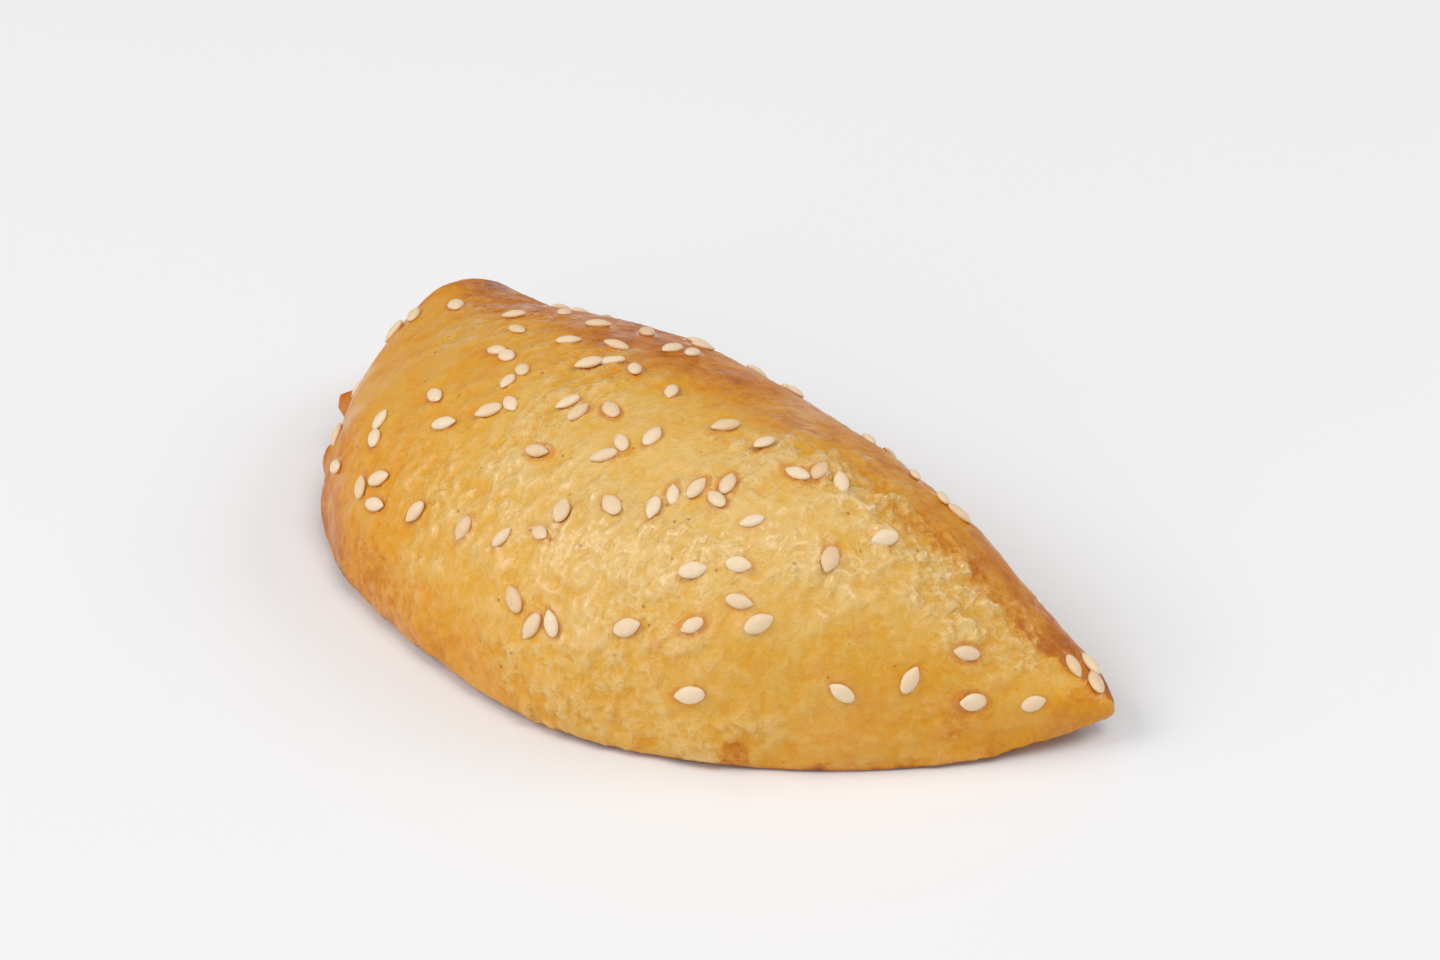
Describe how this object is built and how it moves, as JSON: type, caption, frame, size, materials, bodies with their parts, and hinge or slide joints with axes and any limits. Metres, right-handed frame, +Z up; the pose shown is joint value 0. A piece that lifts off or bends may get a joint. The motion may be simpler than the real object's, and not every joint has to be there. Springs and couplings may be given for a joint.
{
  "type": "cheese turnover pastry",
  "caption": "Whole baked half-moon cheese pastry, domed with a rounded fold, a thin sealed rim and sesame seeds fused to its crust, on a flat base.",
  "frame": {"origin": "under the middle of the pastry's box, on the surface that it rests on", "axes": "+X along the folded edge from the blunt tip to the pointed tip, +Y from the sealed rim to the folded edge, +Z up"},
  "size_m": [0.1004, 0.0491, 0.0261],
  "materials": {
    "baked_crust": "golden egg-washed crust, satin, browner at the rim, the fold and the tips",
    "sesame_seed": "hulled ivory sesame seed, satin"
  },
  "bodies": {
    "root": {"cheese_pastry": "baked_crust"}
  },
  "joints": []
}
